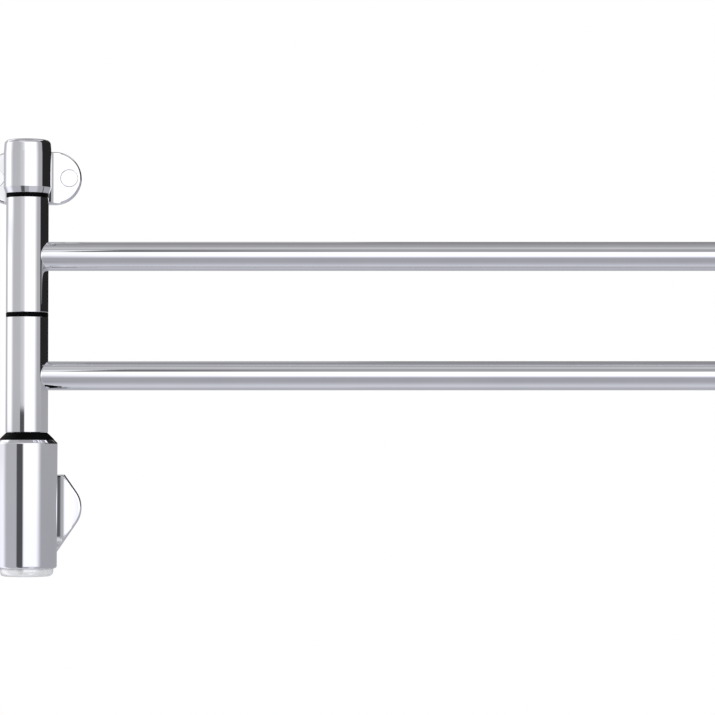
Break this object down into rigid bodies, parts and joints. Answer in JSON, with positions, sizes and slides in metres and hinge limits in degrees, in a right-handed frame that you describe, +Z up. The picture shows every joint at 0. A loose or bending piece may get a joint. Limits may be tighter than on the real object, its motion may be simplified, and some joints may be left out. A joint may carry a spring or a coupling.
{
  "type": "swivel-arm heated towel rail",
  "caption": "Wall-hung electric towel rail: an upright column on wall brackets, with horizontal tubular arms that swing through half a turn and a push button under the housing.",
  "frame": {"origin": "middle of the lower wall plate's two screw holes, on the wall", "axes": "+Z up along the column, +Y into the wall, +X along the arms at rest"},
  "size_m": [0.588, 0.0632, 0.3303],
  "materials": {
    "chrome_plate": "polished",
    "black_plastic": "satin",
    "dark_plastic": "matte",
    "pale_plastic": "gloss",
    "white_plastic": "satin",
    "steel": "satin",
    "dark_steel": "satin",
    "turned_aluminium": "satin",
    "black_rubber": "matte",
    "board_green": "satin",
    "terminal_green": "satin",
    "relay_blue": "satin",
    "fuse_tan": "satin",
    "lamp_clear": "gloss",
    "brass": "satin",
    "red_silicone": "matte",
    "white_silicone": "matte"
  },
  "bodies": {
    "root": {"top_bracket": "chrome_plate", "top_screw_covers": "chrome_plate", "top_bracket_bolt": "dark_steel", "top_cap": "chrome_plate", "top_socket": "turned_aluminium", "top_ring": "black_plastic", "spindle": "steel", "middle_ring": "black_plastic", "collar": "black_plastic", "housing": "chrome_plate", "low_socket": "turned_aluminium", "socket_grub_screws": "dark_steel", "low_bracket": "chrome_plate", "low_bracket_bolt": "dark_steel", "low_wall_plate": "steel", "low_lock_screw": "dark_steel", "inlet_grommet": "black_rubber", "housing_grommet": "black_rubber", "board_carrier": "white_plastic", "carrier_screws": "dark_steel", "control_board": "board_green", "terminal_block": "terminal_green", "relay": "relay_blue", "thermal_fuse": "fuse_tan", "loom_plug": "white_plastic", "wiring_loom": "white_silicone", "earth_tag": "brass", "earth_screw": "brass", "switch_board": "board_green", "push_switch": "dark_plastic", "indicator_lamp": "lamp_clear", "button_guide": "dark_plastic", "guide_screws": "dark_steel"},
    "push_button": {"button": "pale_plastic", "button_clip": "steel", "switch_plunger": "dark_plastic", "button_spring": "steel"},
    "upper_arm": {"upper_sleeve": "chrome_plate", "upper_arm_tube": "chrome_plate", "upper_end_plug": "chrome_plate", "upper_top_bush": "white_plastic", "upper_low_bush": "white_plastic", "upper_stop_pin": "dark_steel", "upper_heater": "red_silicone", "upper_spacers": "white_plastic", "upper_lead": "white_silicone"},
    "lower_arm": {"lower_sleeve": "chrome_plate", "lower_arm_tube": "chrome_plate", "lower_end_plug": "chrome_plate", "lower_top_bush": "white_plastic", "lower_low_bush": "white_plastic", "lower_stop_pin": "dark_steel", "lower_heater": "red_silicone", "lower_spacers": "white_plastic", "lower_lead": "white_silicone"}
  },
  "joints": [
    {"name": "upper_arm_swing", "type": "hinge", "parent": "root", "child": "upper_arm", "pos_m": [0, -0.04, 0.1909], "axis": [0, 0, -1], "range_deg": [0, 180]},
    {"name": "lower_arm_swing", "type": "hinge", "parent": "root", "child": "lower_arm", "pos_m": [0, -0.04, 0.1004], "axis": [0, 0, -1], "range_deg": [0, 180]},
    {"name": "button_press", "type": "slide", "parent": "root", "child": "push_button", "axis": [0, 0, 1], "range_m": [0, 0.0015], "stiffness_N_per_m": 500, "springref_m": -0.002, "deforming": ["button_spring"]}
  ]
}
